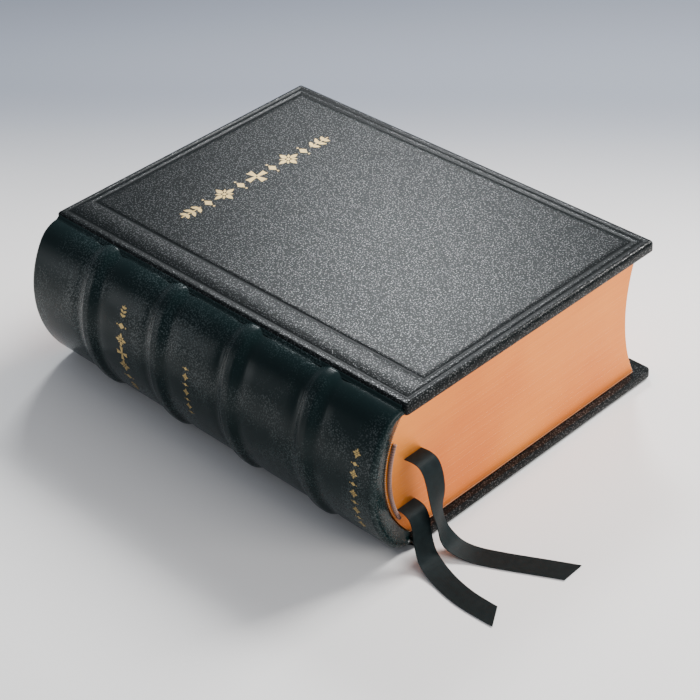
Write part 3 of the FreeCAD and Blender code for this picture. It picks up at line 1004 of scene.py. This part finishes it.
class BOOK_OT_leaves(bpy.types.Operator):
    """Make the sewn sections of each gathering, gilt on their edges"""
    bl_idname = "book.leaves"
    bl_label = "Leaves"

    def execute(self, context):
        tree = sections_tree()
        half = LEAVES_TOP - MID_Z
        deep = SHOULDER_X - LEAF_BACK_X
        hollow = sizes().hollow
        count = sizes().sections
        for number in range(1, 9):
            node = "gathering_%d" % number
            low, high = corner(node, 0, "z"), corner(node, 1, "z")
            piece = run_group(tree, "leaves_%d" % number, section_block(), {
                "Count": count, "Low": low, "Thick": (high - low) / count,
                "Back radius": (half ** 2 + deep ** 2) / (2 * deep), "Back": LEAF_BACK_X,
                "Fore radius": (half ** 2 + hollow ** 2) / (2 * hollow),
                "Fore": LEAVES_FORE - hollow, "Middle": MID_Z,
                "Uneven": 0.02 * MM, "Seed": 40 + number,
                "Leaf": finish("leaf"), "Gilt": finish("gilt"),
            })
            piece.data.shade_flat()
            settle(piece, "book_block", "gilt_leaves", node)
        return {"FINISHED"}


# ---- endbands ----

def endband_tree():
    """Turns of thread wound round a core: rings set along a line, every other one dark."""
    tree, add, given = new_group("wound_endband", [
        ("Spacing", "Float"), ("Core", "Float"), ("Thread", "Float"),
        ("Light", "Material"), ("Dark", "Material"),
    ])
    circle = "GeometryNodeCurvePrimitiveCircle"
    curve = add("GeometryNodeMeshToCurve", Mesh=given["Geometry"])
    spaced = add(
        "GeometryNodeResampleCurve", {"mode": "LENGTH"},
        Curve=curve, Length=given["Spacing"],
    )
    points = add("GeometryNodeCurveToPoints", {"mode": "EVALUATED"}, Curve=spaced)
    loop = add(circle, RADIUS, Resolution=10, Radius=given["Core"])
    section = add(circle, RADIUS, Resolution=6, Radius=given["Thread"])
    torus = add("GeometryNodeCurveToMesh", Curve=loop, Profile_Curve=section)
    index = add(INDEX)
    stored = add(
        "GeometryNodeStoreNamedAttribute", {"data_type": "FLOAT", "domain": "POINT"},
        Geometry=points, Name="turn", Value=add(MATH, {"operation": "MODULO"}, index, 2.0),
    )
    turned = points.node.outputs["Rotation"]
    rings = add(COPIES, Points=stored, Instance=torus, Rotation=turned)
    real = add(REALIZE, Geometry=rings)
    light = add(PAINT, Geometry=real, Material=given["Light"])
    turn = add("GeometryNodeInputNamedAttribute", FLOAT, Name="turn")
    odd = add(MATH, {"operation": "GREATER_THAN"}, turn, 0.5)
    dark = add(PAINT, Geometry=light, Selection=odd, Material=given["Dark"])
    add("NodeGroupOutput", add("GeometryNodeSetShadeSmooth", Geometry=dark))
    return tree


class BOOK_OT_endbands(bpy.types.Operator):
    """Wind the silk endbands at the head and tail of the leaves"""
    bl_idname = "book.endbands"
    bl_label = "Endbands"

    def execute(self, context):
        tree = endband_tree()
        thread = sizes().thread
        steps = 48
        for name in ("tail_band", "head_band"):
            low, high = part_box(name)
            radius = (high[1] - low[1]) / 2
            middle_y = (low[1] + high[1]) / 2
            top = high[2] - radius
            line = []
            for step in range(steps + 1):
                z = MID_Z + (top - MID_Z) * (2 * step / steps - 1)
                line.append((leaf_back(z) + 2 * radius, middle_y, z))
            mesh = bpy.data.meshes.new(name + "_core")
            mesh.from_pydata(line, [(i, i + 1) for i in range(steps)], [])
            piece = run_group(tree, name + "_silk", mesh, {
                "Spacing": thread * 0.9, "Core": radius - thread * 0.4, "Thread": thread / 2,
                "Light": finish("silk_light"), "Dark": finish("silk_dark"),
            })
            settle(piece, "book_block", "endband_silk", name)
        return {"FINISHED"}


# ---- gold tooling ----

def circle_outline(x, y, radius, count):
    turns = [2 * math.pi * i / count for i in range(count)]
    return [(x + radius * math.cos(a), y + radius * math.sin(a)) for a in turns]


def petal(x, y, long, wide, angle, count=10):
    """A pointed leaf from (x, y) outwards at an angle in degrees."""
    turn = math.radians(angle)
    outline = []
    for side in (1, -1):
        for step in range(count + 1) if side == 1 else range(count - 1, 0, -1):
            run = step / count
            out = side * wide / 2 * math.sin(math.pi * run ** 0.8)
            a, b = long * run, out
            outline.append((
                x + a * math.cos(turn) - b * math.sin(turn),
                y + a * math.sin(turn) + b * math.cos(turn),
            ))
    return outline


def fleuron(x, size):
    """Four pointed leaves and four small ones round a dot."""
    shapes = [circle_outline(x, 0, 0.075 * size, 16)]
    for angle in (0, 90, 180, 270):
        for turned, out, long, wide in ((0, 0.1, 0.4, 0.2), (45, 0.12, 0.24, 0.1)):
            turn = math.radians(angle + turned)
            spot = x + out * size * math.cos(turn), out * size * math.sin(turn)
            shapes.append(petal(*spot, long * size, wide * size, angle + turned))
    return shapes


def lozenge(x, size):
    """A diamond with a dot above and below."""
    half, tall = 0.2 * size, 0.3 * size
    return [
        [(x - half, 0), (x, -tall), (x + half, 0), (x, tall)],
        circle_outline(x, 0.42 * size, 0.055 * size, 14),
        circle_outline(x, -0.42 * size, 0.055 * size, 14),
    ]


def flared_cross(x, size):
    """A plain cross with four equal arms that widen outwards."""
    shapes = []
    root, waist, foot, reach = 0.04 * size, 0.055 * size, 0.15 * size, 0.5 * size
    arm = [(root, -waist), (reach, -foot), (reach * 0.94, 0), (reach, foot), (root, waist)]
    for turn in range(4):
        c, s = math.cos(turn * math.pi / 2), math.sin(turn * math.pi / 2)
        shapes.append([(x + a * c - b * s, a * s + b * c) for a, b in arm])
    return shapes


def sprig(x, size, way):
    """A short stem with paired leaves, which points outwards."""
    half, thin = 0.42 * size, 0.02 * size
    shapes = [[(x - half, -thin), (x + half, -thin), (x + half, thin), (x - half, thin)]]
    for step, reach in ((-0.34, 0.3), (-0.08, 0.34), (0.18, 0.26)):
        for up in (60, -60):
            angle = up if way > 0 else 180 - up
            shapes.append(petal(x + way * step * size, 0, reach * size, 0.14 * size, angle))
    return shapes


def plates_object(name, shapes, place, lift, body):
    """Each outline as a thin closed plate of gold, its foot sunk in the leather."""
    foot = -0.4 * MM
    work = bmesh.new()
    for outline in shapes:
        area = sum(a[0] * b[1] - b[0] * a[1] for a, b in zip(outline, outline[1:] + outline[:1]))
        if area < 0:
            outline = outline[::-1]
        top = [work.verts.new(place(x, y, lift)) for x, y in outline]
        low = [work.verts.new(place(x, y, foot)) for x, y in outline]
        work.faces.new(top)
        for i in range(len(top)):
            n = (i + 1) % len(top)
            work.faces.new((low[i], low[n], top[n], top[i]))
        work.faces.new(low[::-1])
    bmesh.ops.recalc_face_normals(work, faces=work.faces)
    mesh = bpy.data.meshes.new(name)
    work.to_mesh(mesh)
    work.free()
    piece = new_object(name, mesh, finish("gold"))
    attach(piece, body)
    return piece


class BOOK_OT_tooling(bpy.types.Operator):
    """Press the gold ornaments into the front cover and the spine"""
    bl_idname = "book.tooling"
    bl_label = "Gold tooling"

    def execute(self, context):
        high = sizes().title_high
        row_y = TAIL_Y + 164 * MM
        row_x = SPINE_X + 75.5 * MM
        pitch = sizes().title_long / 8.4
        shapes = flared_cross(0, high)
        for way in (1, -1):
            shapes += lozenge(way * pitch * 0.92, high * 0.85)
            shapes += fleuron(way * pitch * 1.86, high * 1.08)
            shapes += lozenge(way * pitch * 2.76, high * 0.85)
            shapes += sprig(way * pitch * 3.72, high * 1.25, way)

        def on_cover(x, y, lift):
            return (row_x + x, row_y + y, TOP_Z + lift)

        plates_object("title_ornaments", shapes, on_cover, 0.06 * MM, "front_cover")

        arch = Arch()

        def spine_row(name, y, long, tall, makers):
            shapes = []
            step = long / len(makers)
            for i, maker in enumerate(makers):
                shapes += maker((i - (len(makers) - 1) / 2) * step, tall)

            def on_spine(along, across, lift):
                x, z = arch.at(along, band_lift(y + across) + lift)
                return (x, y + across, z)

            plates_object(name, shapes, on_spine, 0.07 * MM, "book_block")

        title = [
            lambda x, tall: sprig(x, tall, -1), lozenge, fleuron, flared_cross,
            fleuron, lozenge, lambda x, tall: sprig(x, tall, 1),
        ]
        small = [lozenge, fleuron] * 3 + [lozenge]
        foot = [fleuron, lozenge] * 4 + [fleuron]
        upper, lower = (BANDS[2] + BANDS[3]) / 2, (BANDS[1] + BANDS[2]) / 2 + 3 * MM
        spine_row("spine_title_ornaments", upper, 46 * MM, 6.6 * MM, title)
        spine_row("spine_small_ornaments", lower, 26 * MM, 3.6 * MM, small)
        spine_row("spine_foot_ornaments", TAIL_Y + 10.5 * MM, 40 * MM, 4.2 * MM, foot)
        return {"FINISHED"}


# ---- stage ----

WINDOW, LAMP, BOUNCE = (0.95, 0.98, 1.0), (1.0, 0.985, 0.96), (1.0, 0.97, 0.93)
# Each light's place, what it points at, its two sides in metres, watts and tint.
LIGHTS = {
    "back_window": ((0.61, 0.571, 0.74), (0.0, -0.08, 0.07), (0.22, 0.22), 8.0, WINDOW),
    "right_key": ((1.1, -0.25, 0.95), (0, 0, 0.03), (0.5, 0.5), 40.0, LAMP),
    "front_fill": ((0.15, -1.1, 0.5), (0, -0.1, 0.03), (0.7, 0.5), 10.0, BOUNCE),
    "left_card": ((-0.75, 0.67, 0.13), (-0.08, 0, 0.05), (0.16, 0.2), 0.4, WINDOW),
}


class BOOK_OT_stage(bpy.types.Operator):
    """Set the camera, the floor and the studio lights"""
    bl_idname = "book.stage"
    bl_label = "Stage"

    def execute(self, context):
        scene = context.scene
        lens = bpy.data.cameras.new("camera")
        lens.lens = 104.512
        lens.sensor_width = 36.0
        lens.clip_start = 0.01
        camera = new_object("camera", lens)
        camera.location = (-0.47445, -0.53278, 0.52847)
        camera.rotation_euler = Euler([math.radians(a) for a in (53.955, 3.550, -44.683)], "XYZ")
        scene.camera = camera

        bpy.ops.mesh.primitive_grid_add(x_subdivisions=8, y_subdivisions=8, size=8.0)
        floor = context.object
        floor.name = "floor"
        floor.data.materials.append(finish("floor"))

        for name, (spot, aim, sides, power, tint) in LIGHTS.items():
            lamp = bpy.data.lights.new(name, "AREA")
            lamp.shape = "RECTANGLE"
            lamp.size, lamp.size_y = sides
            lamp.energy = power
            lamp.color = tint
            holder = new_object(name, lamp)
            holder.location = spot
            way = Vector(aim) - Vector(spot)
            holder.rotation_euler = way.to_track_quat("-Z", "Y").to_euler()

        world = bpy.data.worlds.new("studio")
        world.use_nodes = True
        backdrop = world.node_tree.nodes["Background"]
        backdrop.inputs["Color"].default_value = (*linear("#dde2ec"), 1)
        backdrop.inputs["Strength"].default_value = 0.5
        scene.world = world
        return {"FINISHED"}


# ---- panel and registration ----

MAKERS = (
    BOOK_OT_stage, BOOK_OT_ribbons, BOOK_OT_covers, BOOK_OT_spine, BOOK_OT_joints,
    BOOK_OT_leaves, BOOK_OT_endbands, BOOK_OT_tooling,
)


class BOOK_PT_panel(bpy.types.Panel):
    """Steps that dress the book"""
    bl_idname = "BOOK_PT_panel"
    bl_label = "Leather-Bound Book"
    bl_space_type = "VIEW_3D"
    bl_region_type = "UI"
    bl_category = "Book"

    def draw(self, context):
        for maker in MAKERS:
            self.layout.operator(maker.bl_idname)
        for group in (context.scene.book_sizes, context.scene.book_colours):
            box = self.layout.box()
            for name in group.__annotations__:
                box.prop(group, name)


CLASSES = (BookSizes, BookColours, *MAKERS, BOOK_PT_panel)


def register():
    for item in CLASSES:
        bpy.utils.register_class(item)
    bpy.types.Scene.book_sizes = PointerProperty(type=BookSizes)
    bpy.types.Scene.book_colours = PointerProperty(type=BookColours)


def unregister():
    del bpy.types.Scene.book_colours
    del bpy.types.Scene.book_sizes
    for item in reversed(CLASSES):
        bpy.utils.unregister_class(item)


def main():
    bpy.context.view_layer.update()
    register()
    for maker in MAKERS:
        group, name = maker.bl_idname.split(".")
        getattr(getattr(bpy.ops, group), name)()
    bpy.context.view_layer.update()


if __name__ == "__main__":
    main()
